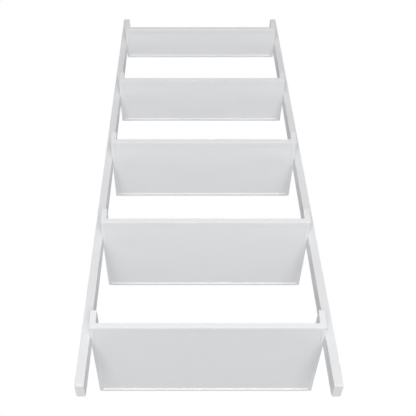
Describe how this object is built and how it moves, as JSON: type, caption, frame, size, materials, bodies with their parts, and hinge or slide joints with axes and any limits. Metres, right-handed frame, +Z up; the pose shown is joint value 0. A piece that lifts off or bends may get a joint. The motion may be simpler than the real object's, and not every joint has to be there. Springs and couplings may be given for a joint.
{
  "type": "leaning shelving unit",
  "caption": "Leaning ladder shelf: sloping rails carry open trays with low sides and backs, deeper towards the floor, with all their backs in one plane against the wall.",
  "frame": {"origin": "on the floor, in the middle of the unit's width and depth", "axes": "+X across to the right as seen from the front, +Y back towards the wall, +Z up"},
  "size_m": [0.635, 0.33, 1.833],
  "materials": {
    "white_lacquer": "satin white lacquer on fibreboard",
    "foot_pad": "matt white plastic",
    "zinc_steel": "zinc-plated steel",
    "beech": "plain beech"
  },
  "bodies": {
    "root": {"rail_left": "white_lacquer", "rail_right": "white_lacquer", "tray_1_side_left": "white_lacquer", "tray_1_side_right": "white_lacquer", "tray_1_nosing": "white_lacquer", "tray_1_shelf": "white_lacquer", "tray_1_back": "white_lacquer", "tray_2_side_left": "white_lacquer", "tray_2_side_right": "white_lacquer", "tray_2_nosing": "white_lacquer", "tray_2_shelf": "white_lacquer", "tray_2_back": "white_lacquer", "tray_3_side_left": "white_lacquer", "tray_3_side_right": "white_lacquer", "tray_3_nosing": "white_lacquer", "tray_3_shelf": "white_lacquer", "tray_3_back": "white_lacquer", "tray_4_side_left": "white_lacquer", "tray_4_side_right": "white_lacquer", "tray_4_nosing": "white_lacquer", "tray_4_shelf": "white_lacquer", "tray_4_back": "white_lacquer", "tray_5_side_left": "white_lacquer", "tray_5_side_right": "white_lacquer", "tray_5_nosing": "white_lacquer", "tray_5_shelf": "white_lacquer", "tray_5_back": "white_lacquer", "foot_pad_left": "foot_pad", "foot_pad_right": "foot_pad", "rail_bolts": "zinc_steel", "rail_insert_nuts": "zinc_steel", "side_screws": "zinc_steel", "back_screws": "zinc_steel", "nosing_dowels": "beech"}
  },
  "joints": []
}
